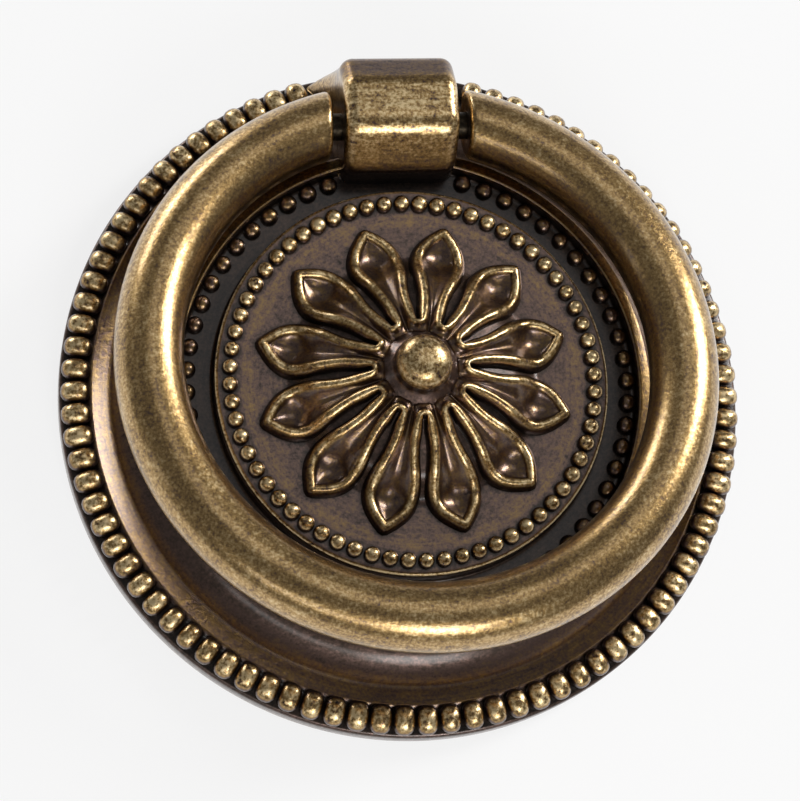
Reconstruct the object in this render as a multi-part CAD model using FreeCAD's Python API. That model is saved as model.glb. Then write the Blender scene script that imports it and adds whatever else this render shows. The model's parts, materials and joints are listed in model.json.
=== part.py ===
import FreeCAD, Part
import math
import os

# Ring pull handle in millimetres. The origin is the centre of the flat back rim, +Z points out of
# the plate towards the hand, and +Y points from the centre of the plate to the hinge.

# Back plate casting
PLATE_RADIUS = 33.0
RIM_HEIGHT = 2.2
CAST_WALL = 2.0
RIM_LAND = 4.0
COVE_WIDTH = 10.25
FACE_RISE = 3.7
LIP_RISE = 1.6
LIP_BEVEL = 0.5
RECESS_WIDTH = 3.95
DISC_RISE = 2.55
DISC_EDGE_BEVEL = 0.3

# Bead rows: number of beads, their radial length and height, and the flat left beside the row
OUTER_BEADS = 90
OUTER_BEAD_LENGTH = 2.6
OUTER_BEAD_HEIGHT = 2.0
OUTER_BEAD_LEDGE = 0.2
RECESS_BEADS = 60
RECESS_BEAD_SIZE = 1.4
RECESS_BEAD_HEIGHT = 0.9
RECESS_BEAD_LEDGE = 0.35
DISC_BEADS = 64
DISC_BEAD_SIZE = 1.45
DISC_BEAD_HEIGHT = 1.0
DISC_BEAD_LEDGE = 0.675
BEAD_CREST = 0.5
# Crests of an outer bead: share of its length from the outside, share of its height
OUTER_BEAD_CRESTS = [(0.22, 0.72), (0.68, 1.0)]

# Flower
PETALS = 12
PETAL_INNER = 4.4
PETAL_GAP = 2.025
PETAL_BELLY = 1.92
PETAL_STALK = 0.78
PETAL_STALK_DEPTH = 0.5
PETAL_RIM = 0.5
PETAL_FOOT = 0.6
PETAL_HOLLOW = 1.0
FLOWER_RISE = 7.1
FLOWER_SLOPE = 0.42
FLOWER_TIP_RISE = 1.2
FLOWER_SHOULDER = 5.25
FLOWER_BRIM = 1.85
FLOWER_GROOVE = 1.4
CENTRE_BOSS_RADIUS = 2.6
CENTRE_BOSS_STAND = 6.5
CENTRE_BOSS_RISE = 1.8
# Form of a petal's outline: how full the leaf is, and how far out it is widest
LEAF_FULLNESS = 0.35
LEAF_LEAN = 1.87
PETAL_STATIONS = [0.08, 0.38, 0.66, 0.88, 1.0]

# Fixing boss at the back, tapped M4 and drawn at its tapping drill
FIXING_BOSS_RADIUS = 5.0
FIXING_HOLE_RADIUS = 1.65
FIXING_HOLE_DEPTH = 9.0

# Knuckle; the hinge axis lies outside the lip, and the ring's bar hangs below the lip there
HINGE_OUTSIDE_LIP = 2.15
RING_BELOW_LIP = 1.25
KNUCKLE_WIDTH = 11.0
KNUCKLE_BARREL = 4.55
KNUCKLE_BACK_INSET = 1.9
KNUCKLE_BACK_DROP = 2.55
KNUCKLE_EDGE_BEVEL = 0.7
KNUCKLE_FOOT_WIDTH = 12.8
KNUCKLE_FOOT_DEPTH = 4.0
KNUCKLE_FOOT_RISE = 4.0

# Ring and pin
RING_RADIUS = 25.2
RING_BAR_RADIUS = 3.25
RING_END_GAP = 1.7
RING_END_BEVEL = 0.5
RING_REST_DEG = 7.2
PIN_RADIUS = 1.3
PIN_GRIP = 2.6
PIN_CLEARANCE = 0.05
PIN_END_CLEARANCE = 0.3

# Depth by which a raised form is rooted in the casting
ROOT = 0.4

# Radii and heights that follow
LIP_RADIUS = PLATE_RADIUS - COVE_WIDTH
DISC_RADIUS = LIP_RADIUS - RECESS_WIDTH
RECESS_FLOOR = RIM_HEIGHT + FACE_RISE
LIP_HEIGHT = RECESS_FLOOR + LIP_RISE
DISC_HEIGHT = RECESS_FLOOR + DISC_RISE
RECESS_BEAD_RADIUS = LIP_RADIUS - LIP_BEVEL - RECESS_BEAD_LEDGE - RECESS_BEAD_SIZE / 2
DISC_BEAD_RADIUS = DISC_RADIUS - DISC_BEAD_LEDGE - DISC_BEAD_SIZE / 2
PETAL_TIP = DISC_BEAD_RADIUS - DISC_BEAD_SIZE / 2 - PETAL_GAP
SHOULDER_RADIUS = PETAL_TIP - FLOWER_SHOULDER
BRIM_RADIUS = PETAL_TIP - FLOWER_BRIM
FLOWER_TOP = DISC_HEIGHT + FLOWER_RISE
FLOWER_TIP_HEIGHT = DISC_HEIGHT + FLOWER_TIP_RISE
CENTRE_BOSS_SHOULDER = DISC_HEIGHT + CENTRE_BOSS_STAND
CENTRE_BOSS_TOP = CENTRE_BOSS_SHOULDER + CENTRE_BOSS_RISE
HINGE_Y = LIP_RADIUS + HINGE_OUTSIDE_LIP
HINGE_Z = LIP_HEIGHT + RING_BAR_RADIUS - RING_BELOW_LIP
RING_END = KNUCKLE_WIDTH / 2 + RING_END_GAP
PIN_HALF_LENGTH = RING_END + PIN_GRIP

X_AXIS = FreeCAD.Vector(1, 0, 0)
Z_AXIS = FreeCAD.Vector(0, 0, 1)
ORIGIN = FreeCAD.Vector(0, 0, 0)


def in_section(radius, height):
    """Point of a turned profile."""
    return FreeCAD.Vector(radius, 0, height)


def turned(edges):
    """Solid turned about Z from the edges of a closed profile."""
    return Part.Face(Part.Wire(edges)).revolve(ORIGIN, Z_AXIS, 360)


def lines(points):
    """Straight edges through a list of points."""
    return [Part.LineSegment(a, b).toShape() for a, b in zip(points, points[1:])]


def arc(start, middle, end):
    """Round edge through three points."""
    return Part.Arc(start, middle, end).toShape()


def tangent_arc(start, end, place):
    """Arc that leaves start level in its own plane and reaches end; place makes a point."""
    run = end[0] - start[0]
    rise = end[1] - start[1]
    radius = (run * run + rise * rise) / (2 * rise)
    turn = math.asin(run / radius) / 2
    middle = (start[0] + radius * math.sin(turn), start[1] + radius * (1 - math.cos(turn)))
    return arc(place(*start), place(*middle), place(*end))


def faceted(polygons):
    """Closed solid from flat polygons that share their corners."""
    faces = [Part.Face(Part.makePolygon(list(p) + [p[0]])) for p in polygons]
    shell = Part.Shell(faces)
    shell.sewShape()
    solid = Part.makeSolid(shell)
    if solid.Volume < 0:
        solid.reverse()
    return solid


def strip(first, second):
    """Triangles between two closed rows with as many points each."""
    found = []
    for i in range(len(first)):
        j = (i + 1) % len(first)
        found.append((first[i], first[j], second[i]))
        found.append((first[j], second[j], second[i]))
    return found


def corners(points):
    """A polygon without its repeated points."""
    return [p for i, p in enumerate(points) if not any(p.isEqual(q, 1e-7) for q in points[:i])]


def polar(radius, turns, height):
    """Point at a share of a full turn from the hinge line."""
    angle = math.pi / 2 + 2 * math.pi * turns
    return FreeCAD.Vector(radius * math.cos(angle), radius * math.sin(angle), height)


def bead_row(count, outer, inner, crests, floor):
    """Ring of beads that meet in grooves, between two radii on a level floor, one on the hinge line.

    crests are (radius, height over the floor, share of the pitch) from the outside in.
    """
    feet = [[polar(r, (i - 0.5) / count, floor) for i in range(count)] for r in (outer, inner)]
    roots = [[FreeCAD.Vector(p.x, p.y, floor - ROOT) for p in row] for row in feet]
    polygons = []
    for i in range(count):
        j = (i + 1) % count
        left = [polar(r, (i - share / 2) / count, floor + h) for r, h, share in crests]
        right = [polar(r, (i + share / 2) / count, floor + h) for r, h, share in crests]
        left = [feet[0][i]] + left + [feet[1][i]]
        right = [feet[0][j]] + right + [feet[1][j]]
        for a, b, c, d in zip(left, right, right[1:], left[1:]):
            polygons.append(corners([a, b, c, d]))
        for side in (left, right):
            polygons += [(side[0], b, c) for b, c in zip(side[1:], side[2:])]
        for foot, root in zip(feet, roots):
            polygons.append((foot[i], foot[j], root[j], root[i]))
        polygons.append((roots[0][i], roots[0][j], roots[1][j], roots[1][i]))
    return faceted(polygons)


def outer_beads():
    """Barrel-shaped beads on the outer edge, sloping down to the outside."""
    edge = PLATE_RADIUS - OUTER_BEAD_LEDGE
    crests = [
        (edge - along * OUTER_BEAD_LENGTH, share * OUTER_BEAD_HEIGHT, BEAD_CREST)
        for along, share in OUTER_BEAD_CRESTS
    ]
    return bead_row(OUTER_BEADS, edge, edge - OUTER_BEAD_LENGTH, crests, RIM_HEIGHT)


def disc_beads():
    """Round beads near the edge of the raised disc."""
    half = DISC_BEAD_SIZE / 2
    crests = [
        (DISC_BEAD_RADIUS + BEAD_CREST * half, DISC_BEAD_HEIGHT, BEAD_CREST),
        (DISC_BEAD_RADIUS - BEAD_CREST * half, DISC_BEAD_HEIGHT, BEAD_CREST),
    ]
    return bead_row(DISC_BEADS, DISC_BEAD_RADIUS + half, DISC_BEAD_RADIUS - half, crests, DISC_HEIGHT)


def recess_beads():
    """Small beads in the recess round the disc, each drawn as a point."""
    half = RECESS_BEAD_SIZE / 2
    crests = [(RECESS_BEAD_RADIUS, RECESS_BEAD_HEIGHT, 0)]
    return bead_row(RECESS_BEADS, RECESS_BEAD_RADIUS + half, RECESS_BEAD_RADIUS - half, crests, RECESS_FLOOR)


def flower_height(radius):
    """Height of the petal rims: a cone round the boss that eases into a level brim at the tips."""
    cone = FLOWER_TOP - FLOWER_SLOPE * radius
    t = (radius - SHOULDER_RADIUS) / (BRIM_RADIUS - SHOULDER_RADIUS)
    t = min(max(t, 0), 1)
    return cone + (FLOWER_TIP_HEIGHT - cone) * t * t * (3 - 2 * t)


def petal_half_width(t):
    """Half width of a petal at the rim, from its inner end (t = 0) to its tip (t = 1)."""
    stalk = PETAL_STALK * (1 - t)
    leaf = PETAL_BELLY * t ** LEAF_FULLNESS * math.sin(math.pi * t ** LEAF_LEAN)
    return stalk + leaf


def petal_loop(grow, height, open_depth=0):
    """Closed line round a petal, grown outwards by grow; height gives Z from the radius.

    It starts at the middle of the open inner end, open_depth below the rims. Their inner ends reach
    the line between two petals, where the rims of neighbours join.
    """
    start = PETAL_INNER - grow
    end = PETAL_TIP + grow
    half_share = PETAL_INNER * math.tan(math.pi / PETALS)
    right = [
        FreeCAD.Vector(0, start, height(start) - open_depth),
        FreeCAD.Vector(half_share + grow, start, height(start)),
    ]
    for t in PETAL_STATIONS[:-1]:
        radius = start + t * (end - start)
        right.append(FreeCAD.Vector(petal_half_width(t) + grow, radius, height(radius)))
    left = [FreeCAD.Vector(-p.x, p.y, p.z) for p in right[1:]]
    return right + [FreeCAD.Vector(0, end, height(end))] + left[::-1]


def petal():
    """One petal on the +Y axis: raised rim round a leaf that falls to a crease along its middle."""
    foot = petal_loop(PETAL_FOOT, lambda r: DISC_HEIGHT - ROOT)
    outer = petal_loop(PETAL_RIM / 2, lambda r: flower_height(r) - PETAL_RIM / 3, PETAL_STALK_DEPTH)
    inner = petal_loop(-PETAL_RIM / 2, flower_height, PETAL_STALK_DEPTH)
    tip = len(PETAL_STATIONS) + 1
    right = inner[:tip + 1]
    left = [inner[0]] + inner[:tip:-1] + [inner[tip]]
    crease = [inner[0], inner[0]]
    for p in right[2:]:
        depth = PETAL_HOLLOW * p.x / PETAL_BELLY
        crease.append(FreeCAD.Vector(0, p.y, p.z - depth))
    polygons = strip(foot, outer) + strip(outer, inner) + [foot]
    for side in (right, left):
        for a, b, c, d in zip(side, side[1:], crease[1:], crease):
            triangles = [corners([a, b, d]), corners([b, c, d])]
            polygons += [t for t in triangles if len(t) == 3]
    return faceted(polygons)


def flower():
    """All petals, two of them either side of the hinge line, and the dome that they stand on."""
    one = petal()
    found = []
    for i in range(PETALS):
        copy = one.copy()
        copy.rotate(ORIGIN, Z_AXIS, 360 * (i + 0.5) / PETALS)
        found.append(copy)
    levels = [(r, flower_height(r) - FLOWER_GROOVE) for r in (CENTRE_BOSS_RADIUS, SHOULDER_RADIUS)]
    levels.append((BRIM_RADIUS, DISC_HEIGHT - ROOT))
    rows = [[polar(r, i / PETALS, z) for i in range(PETALS)] for r, z in levels]
    polygons = [rows[0], rows[-1]]
    for upper, lower in zip(rows, rows[1:]):
        for i in range(PETALS):
            j = (i + 1) % PETALS
            polygons.append((upper[i], upper[j], lower[j], lower[i]))
    return found + [faceted(polygons)]


def plate_body():
    """Turned casting without beads, petals and knuckle: face, cove, rim, hollow back and fixing boss."""
    cove_start = PLATE_RADIUS - OUTER_BEAD_LENGTH - 2 * OUTER_BEAD_LEDGE
    face = [
        in_section(CENTRE_BOSS_RADIUS, CENTRE_BOSS_SHOULDER),
        in_section(CENTRE_BOSS_RADIUS, DISC_HEIGHT),
        in_section(DISC_RADIUS - DISC_EDGE_BEVEL, DISC_HEIGHT),
        in_section(DISC_RADIUS, DISC_HEIGHT - DISC_EDGE_BEVEL),
        in_section(DISC_RADIUS, RECESS_FLOOR),
        in_section(LIP_RADIUS - LIP_BEVEL, RECESS_FLOOR),
        in_section(LIP_RADIUS - LIP_BEVEL, LIP_HEIGHT - LIP_BEVEL),
        in_section(LIP_RADIUS, LIP_HEIGHT),
        in_section(LIP_RADIUS + LIP_BEVEL, LIP_HEIGHT - LIP_BEVEL),
    ]
    rise = CENTRE_BOSS_TOP - CENTRE_BOSS_SHOULDER
    ball = (CENTRE_BOSS_RADIUS ** 2 + rise ** 2) / (2 * rise)
    half_turn = math.asin(CENTRE_BOSS_RADIUS / ball) / 2
    cap_middle = in_section(ball * math.sin(half_turn), CENTRE_BOSS_TOP - ball * (1 - math.cos(half_turn)))
    edges = [arc(in_section(0, CENTRE_BOSS_TOP), cap_middle, face[0])]
    edges += lines(face)
    cove_end = (LIP_RADIUS + LIP_BEVEL, LIP_HEIGHT - LIP_BEVEL)
    edges.append(tangent_arc((cove_start, RIM_HEIGHT), cove_end, in_section))
    boss_root = flower_height(PETAL_TIP / 2) - FLOWER_GROOVE - CAST_WALL
    hollow = [
        in_section(cove_start, RIM_HEIGHT),
        in_section(PLATE_RADIUS, RIM_HEIGHT),
        in_section(PLATE_RADIUS, 0),
        in_section(PLATE_RADIUS - RIM_LAND, 0),
        in_section(LIP_RADIUS, RECESS_FLOOR - CAST_WALL),
        in_section(DISC_RADIUS - CAST_WALL, RECESS_FLOOR - CAST_WALL),
        in_section(PETAL_TIP / 2, boss_root),
        in_section(FIXING_BOSS_RADIUS, boss_root),
        in_section(FIXING_BOSS_RADIUS, 0),
        in_section(FIXING_HOLE_RADIUS, 0),
        in_section(FIXING_HOLE_RADIUS, FIXING_HOLE_DEPTH),
        in_section(0, FIXING_HOLE_DEPTH),
        in_section(0, CENTRE_BOSS_TOP),
    ]
    return turned(edges + lines(hollow))


def knuckle():
    """Hinge knuckle: a barrel round the pin, drawn out to the edge of the plate, on a flared foot."""
    half = KNUCKLE_WIDTH / 2

    def side(y, z):
        return FreeCAD.Vector(-half, y, z)

    front = HINGE_Y - KNUCKLE_BARREL
    top = HINGE_Z + KNUCKLE_BARREL
    bow = math.sqrt(0.5) * KNUCKLE_BARREL
    heel = PLATE_RADIUS - ROOT
    back = (PLATE_RADIUS - KNUCKLE_BACK_INSET, top - KNUCKLE_BACK_DROP)
    edges = lines([side(front, RECESS_FLOOR - ROOT), side(front, HINGE_Z)])
    edges.append(arc(side(front, HINGE_Z), side(HINGE_Y - bow, HINGE_Z + bow), side(HINGE_Y, top)))
    edges.append(tangent_arc((HINGE_Y, top), back, side))
    edges += lines([
        side(*back),
        side(heel, RIM_HEIGHT - ROOT),
        side(front, RECESS_FLOOR - ROOT),
    ])
    body = Part.Face(Part.Wire(edges)).extrude(X_AXIS * KNUCKLE_WIDTH)
    flanks = [f for f in body.Faces if abs(abs(f.CenterOfMass.x) - half) < 1e-6]
    rims = [e for f in flanks for e in f.Edges if e.CenterOfMass.z > RECESS_FLOOR + ROOT]
    body = body.makeChamfer(KNUCKLE_EDGE_BEVEL, rims)

    def level(width, z, y_back):
        x = width / 2
        y_front = heel - KNUCKLE_FOOT_DEPTH
        outline = [(-x, y_front), (x, y_front), (x, y_back), (-x, y_back)]
        points = [FreeCAD.Vector(a, b, z) for a, b in outline]
        return Part.makePolygon(points + [points[0]])

    foot_top = RIM_HEIGHT + KNUCKLE_FOOT_RISE
    lower = level(KNUCKLE_FOOT_WIDTH, RIM_HEIGHT - ROOT, heel)
    lean = (heel - back[0]) / (back[1] - RIM_HEIGHT + ROOT)
    upper = level(KNUCKLE_WIDTH, foot_top, heel - lean * (KNUCKLE_FOOT_RISE + ROOT))
    return body.fuse(Part.makeLoft([lower, upper], True, True))


def along_hinge(radius, half_length):
    """Round bar on the hinge axis, centred on the plate."""
    start = FreeCAD.Vector(-half_length, HINGE_Y, HINGE_Z)
    return Part.makeCylinder(radius, 2 * half_length, start, X_AXIS)


def back_plate():
    """The whole casting, with the bore for the pin."""
    raised = [outer_beads(), recess_beads(), disc_beads()] + flower() + [knuckle()]
    casting = plate_body().multiFuse(raised)
    return casting.cut(along_hinge(PIN_RADIUS, KNUCKLE_WIDTH))


def ring():
    """C-shaped ring at its rest, with a blind hole for the pin in each end."""
    drop = math.sqrt(RING_RADIUS ** 2 - RING_END ** 2)
    bar = Part.makeTorus(RING_RADIUS, RING_BAR_RADIUS, FreeCAD.Vector(0, -drop, 0), Z_AXIS)
    reach = 2 * RING_BAR_RADIUS
    corner = FreeCAD.Vector(-RING_END, -reach, -reach)
    bar = bar.cut(Part.makeBox(2 * RING_END, 3 * reach, 2 * reach, corner))
    ends = [f for f in bar.Faces if abs(abs(f.CenterOfMass.x) - RING_END) < 1e-6]
    bar = bar.makeChamfer(RING_END_BEVEL, [e for f in ends for e in f.Edges])
    hole_end = PIN_HALF_LENGTH + PIN_END_CLEARANCE
    start = FreeCAD.Vector(-hole_end, 0, 0)
    bar = bar.cut(Part.makeCylinder(PIN_RADIUS + PIN_CLEARANCE, 2 * hole_end, start, X_AXIS))
    bar.rotate(ORIGIN, X_AXIS, -RING_REST_DEG)
    bar.translate(FreeCAD.Vector(0, HINGE_Y, HINGE_Z))
    return bar


def main():
    os.makedirs("parts", exist_ok=True)
    parts = {
        "back_plate": back_plate(),
        "ring": ring(),
        "pivot_pin": along_hinge(PIN_RADIUS, PIN_HALF_LENGTH),
    }
    for name, shape in parts.items():
        shape.exportStep("parts/" + name + ".step")
        print(name, "solids", len(shape.Solids), "valid", shape.isValid(), "volume", round(shape.Volume, 1))


main()
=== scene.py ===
import json
import math

import bmesh
import bpy
import numpy as np
from mathutils import Matrix, Vector


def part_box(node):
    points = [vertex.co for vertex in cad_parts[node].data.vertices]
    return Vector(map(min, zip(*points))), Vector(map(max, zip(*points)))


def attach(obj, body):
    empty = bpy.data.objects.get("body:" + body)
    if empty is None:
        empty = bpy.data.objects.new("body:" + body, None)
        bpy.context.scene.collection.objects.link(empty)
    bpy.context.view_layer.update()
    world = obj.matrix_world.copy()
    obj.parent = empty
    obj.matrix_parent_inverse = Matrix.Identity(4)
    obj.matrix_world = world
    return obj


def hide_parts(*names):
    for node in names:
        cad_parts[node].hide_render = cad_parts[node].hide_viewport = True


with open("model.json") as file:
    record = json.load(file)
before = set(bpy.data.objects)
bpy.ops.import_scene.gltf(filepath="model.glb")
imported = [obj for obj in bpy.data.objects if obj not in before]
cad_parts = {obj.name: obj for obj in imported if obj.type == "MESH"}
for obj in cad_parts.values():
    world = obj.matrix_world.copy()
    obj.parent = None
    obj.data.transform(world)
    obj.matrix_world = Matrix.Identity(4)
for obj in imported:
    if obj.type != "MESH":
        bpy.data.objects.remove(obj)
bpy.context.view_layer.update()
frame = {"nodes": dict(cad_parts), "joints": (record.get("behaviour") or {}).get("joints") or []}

# Ring pull handle: finely modelled casting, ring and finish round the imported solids.
# Sizes are in millimetres and become metres when a mesh is made.
MM = 0.001

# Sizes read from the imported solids
PLATE_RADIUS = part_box("back_plate")[1].x / MM
JOINT = frame["joints"][0]
HINGE_Y = JOINT["pos_m"][1] / MM
HINGE_Z = JOINT["pos_m"][2] / MM

# Plate
RIM_HEIGHT = 2.2
RIM_LAND = 4.0
CAST_WALL = 2.0
LIP_RADIUS = 22.75
LIP_HEIGHT = 7.5
LIP_WALL_FOOT = 0.8
LIP_WALL_TOP = 0.75
LIP_CROWN = 0.1
LIP_SLOPE_OUT = 0.5
LIP_SLOPE_DROP = 0.42
LIP_SKIRT_OUT = 0.85
LIP_SKIRT_DROP = 1.0
RECESS_FLOOR = 5.9
DISC_RADIUS = 18.8
DISC_HEIGHT = 8.45
COVE_INSET = 0.95
COVE_DROP = 1.15
COVE_START = 30.1
TROUGH_RADIUS = 27.8
TROUGH_HEIGHT = 2.3
TROUGH_SLOPE = 22.0
BANK_BEND = 2.0
FIXING_BOSS_RADIUS = 5.0
FIXING_HOLE_RADIUS = 1.65
FIXING_HOLE_DEPTH = 9.0
BACK_ROOT_RADIUS = 9.2
BACK_ROOT_DEPTH = 0.4
PLATE_TURNS = 360

# How bright each place is, from rubbing and patina and from painted light and shade: 0 in the dark hollows, 1
# on bare brass
WEAR_COVE = 0.13
WEAR_AND_HIGHLIGHT_BANK_GAIN = 0.19
WEAR_GROUND = 0.15
PAINTED_SHEEN_CENTRE_GAIN = 0.11
WEAR_DISC = 0.21
WEAR_BAND_GAIN = 0.07
WEAR_AND_HIGHLIGHT_DISC_EDGE = 0.75
WEAR_RECESS = 0.07
WEAR_LIP = 0.44
PAINTED_SHADE_SIDE = 0.15
PAINTED_SHEEN_COLLAR = 0.22
WEAR_BOSS = 0.70
WEAR_BOSS_TOP = 0.72
WEAR_BACK = 0.3
WEAR_HOLE_END = 0.1
WEAR_OUTER_BEADS = 0.80
WEAR_RECESS_BEADS = 0.34
WEAR_DISC_BEADS = 0.84
WEAR_LEAF = 0.26
WEAR_LEAF_GAIN = 0.03
PATINA_AND_SHADE_PETAL_FOOT = 0.03
WEAR_KNUCKLE = 0.68
WEAR_KNUCKLE_EDGE_GAIN = 0.06
PAINTED_SHADE_KNUCKLE_HEEL = 0.44
PAINTED_SHADE_KNUCKLE_FRONT = 0.16
WEAR_KNUCKLE_FLANK = 0.50
WEAR_RING = 0.57
PAINTED_SHADE_RING_INSIDE = 0.20
PAINTED_HIGHLIGHT_RING_EDGE = 0.70
PAINTED_SHADE_RING_HOLE = 0.2

# Shares of the brightness taken away beside beads and petals, under the outer beads and at the knuckle's
# foot: patina in the hollows, and painted shade where these places lie in shadow
BEAD_SHADE = 0.75
RIM_SHADE = 0.9
PETAL_SHADE = 0.3
PETAL_SHADE_GAIN = 0.4
KNUCKLE_FOOT_SHADE = 0.9

# Where the wear and the painted light and shade change: radii, distances in plan, places on the knuckle, and
# the cosine round the bar
GROUND_RADIUS = 11.5
BAND_RADIUS = 15.7
BAND_FADE = (1.0, 0.2)
BANK_FADE = (25.5, 28.8)
CENTRE_FADE = (5.5, 4.2)
BEAD_FADE = (1.15, 0.75)
PETAL_FADE = (1.5, 0.35)
PETAL_SHADE_FADE = (11.0, 13.0)
DISC_EDGE_FADE = (0.22, 0.05)
LIP_FADE = (0.95, 0.4)
KNUCKLE_HEEL_FADE = (27.6, 29.6)
KNUCKLE_FRONT_FADE = (23.2, 21.2)
KNUCKLE_FOOT_HEIGHTS = (11.4, 8.0)
KNUCKLE_FOOT_FADE = (25.0, 21.0)
RING_INSIDE_FADE = (-0.45, -0.95)

# Brush marks: how fast their noise runs along each piece and across it
PLATE_BRUSH_AROUND = 6.0
PLATE_BRUSH_OUT = 3.0
PLATE_BRUSH_UP = 2.0
KNUCKLE_BRUSH_ACROSS = 0.4
KNUCKLE_BRUSH_ALONG = 2.5
RING_BRUSH_ALONG = 8.0
RING_BRUSH_ROUND = 9.0

# Bead rows: count, radius of the row, half sizes (radial, tangential, up), height of the centre,
# tilt outwards in degrees, and how square a bead is in plan (2 is round)
OUTER_ROW = dict(count=90, radius=31.5, half=(1.38, 1.05, 1.05), centre=3.15, tilt=9.0, square=2.5)
RECESS_ROW = dict(count=60, radius=21.2, half=(0.86, 0.86, 0.80), centre=6.05, tilt=0.0, square=2.0)
DISC_ROW = dict(count=64, radius=17.4, half=(0.80, 0.80, 0.80), centre=8.66, tilt=0.0, square=2.0)
# Points round a bead and up it, and where it starts below its middle, as a share of a quarter turn
BEAD_AROUND = 20
BEAD_UP = 11
BEAD_LOWEST = -0.55

# Flower: a cone of petal rims that eases into a level brim at the tips
PETALS = 12
PETAL_INNER = 4.4
PETAL_TIP = 14.65
PETAL_BELLY = 1.92
PETAL_STALK = 0.78
FLOWER_TOP = 15.55
FLOWER_SLOPE = 0.42
FLOWER_TIP_HEIGHT = 9.65
SHOULDER_RADIUS = 9.4
BRIM_RADIUS = 12.8
FLOWER_GROOVE = 1.35
BOSS_RADIUS = 2.6
BOSS_SHOULDER = 14.9
BOSS_TOP = 16.75
BOSS_CROWN_POWER = 2.6
LEAF_INNER = 3.45
COLLAR_HEIGHT = 13.1

# Knuckle
KNUCKLE_HALF = 5.5
KNUCKLE_FLARE = 2.0
KNUCKLE_FLARE_FADE = (26.5, 30.5)
KNUCKLE_FILLET = 7.5
KNUCKLE_EDGE = 1.25
KNUCKLE_REACH = PLATE_RADIUS - 0.4
# Underside of the knuckle, sunk in the plate, as (y, z) from its heel to its front
KNUCKLE_BASE = [(31.6, 1.1), (28.2, 1.2), (25.6, 2.3), (24.2, 3.4), (22.6, 4.9)]

# Beads with their middle nearer to the plane of symmetry than this are left out for the knuckle
OUTER_SKIP = KNUCKLE_HALF + 1.9
RECESS_SKIP = KNUCKLE_HALF - 0.4

# Ring
RING_RADIUS = 25.2
RING_BAR = 3.25
RING_CUT = 7.2
RING_END = 6.6
RING_REST_DEG = 7.2
RING_BEVEL = 0.55
RING_BEVEL_STEPS = [0, 0.08, 0.3, 0.6, 1.0]
RING_AROUND = 72
RING_ALONG = 300
PIN_HOLE_RADIUS = 1.35
PIN_HOLE_END = 10.1
PIN_HOLE_CHAMFER = 0.15

# Points nearer to each other than this are joined
WELD_DISTANCE = 0.002

# Camera, from the photograph's perspective: its axes in the frame of the part, and its distance
IMAGE_WIDTH = 800
IMAGE_HEIGHT = 801
FOCAL_PIXELS = 3062.0
CAMERA_DISTANCE = 296.8
CAMERA_BACK = Vector((-0.1642, -0.2417, 0.9565))
CAMERA_UP = Vector((0.0267, 0.9682, 0.2492))
ORIGIN_PIXEL = (399.8, 402.4)
SENSOR = 36.0


def smooth(value, low, high):
    """0 below low, 1 above high, and a smooth step between; works for low above high too."""
    t = np.clip((np.asarray(value, float) - low) / (high - low), 0, 1)
    return t * t * (3 - 2 * t)


def grid_faces(rows, columns, start=0):
    """Quads of a grid of points that is stored row by row, with each row closed to a loop."""
    i, j = np.meshgrid(np.arange(rows - 1), np.arange(columns), indexing="ij")
    here, above = i * columns, (i + 1) * columns
    beside = (j + 1) % columns
    quads = np.stack([here + j, here + beside, above + beside, above + j], -1)
    return (quads.reshape(-1, 4) + start).tolist()


def add_piece(name, points, faces, material, body, wear_and_painted_light, flow=None):
    """Mesh object from points in millimetres, with its wear and painted light and shade, and the places for
    its brush marks' noise.
    """
    mesh = bpy.data.meshes.new(name)
    points = np.asarray(points, float).reshape(-1, 3)
    mesh.from_pydata((points * MM).tolist(), [], faces)
    mesh.polygons.foreach_set("use_smooth", np.ones(len(mesh.polygons), bool))
    values = mesh.attributes.new("wear_and_painted_light", "FLOAT", "POINT")
    values.data.foreach_set("value", np.broadcast_to(np.asarray(wear_and_painted_light, np.float32), len(points)).copy())
    values = mesh.attributes.new("flow", "FLOAT_VECTOR", "POINT")
    flow = points if flow is None else np.asarray(flow, float).reshape(-1, 3)
    values.data.foreach_set("vector", flow.astype(np.float32).ravel())
    mesh.materials.append(material)
    piece = bpy.data.objects.new(name, mesh)
    bpy.context.scene.collection.objects.link(piece)
    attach(piece, body)
    return piece


def weld(piece):
    """Joins points that lie on each other, such as the two halves of a crease."""
    work = bmesh.new()
    work.from_mesh(piece.data)
    bmesh.ops.remove_doubles(work, verts=work.verts, dist=WELD_DISTANCE * MM)
    bmesh.ops.dissolve_degenerate(work, edges=work.edges, dist=WELD_DISTANCE * MM)
    bmesh.ops.recalc_face_normals(work, faces=work.faces)
    work.to_mesh(piece.data)
    work.free()


def arc_points(centre, radius, start_deg, end_deg, count):
    """Points of an arc in a section, as (first, second) coordinates."""
    a = np.radians(np.linspace(start_deg, end_deg, count))
    return np.stack([centre[0] + radius * np.cos(a), centre[1] + radius * np.sin(a)], -1)


def rounded(corner_points, radii, steps):
    """Outline through corner points with each inner corner rounded to its radius."""
    points = [np.asarray(p, float) for p in corner_points]
    found = [points[0][None]]
    for before, corner, after, radius in zip(points, points[1:], points[2:], radii):
        a = (before - corner) / np.linalg.norm(before - corner)
        b = (after - corner) / np.linalg.norm(after - corner)
        half = math.acos(np.clip(a @ b, -1, 1)) / 2
        reach = min(radius / math.tan(half), 0.48 * min(np.linalg.norm(before - corner),
                                                        np.linalg.norm(after - corner)))
        t = np.linspace(0, 1, steps)[:, None]
        p, q = corner + a * reach, corner + b * reach
        weight = math.sin(half)
        curve = (1 - t) ** 2 * p + 2 * t * (1 - t) * weight * corner + t ** 2 * q
        found.append(curve / ((1 - t) ** 2 + 2 * t * (1 - t) * weight + t ** 2))
    found.append(points[-1][None])
    return np.concatenate(found)


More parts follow.
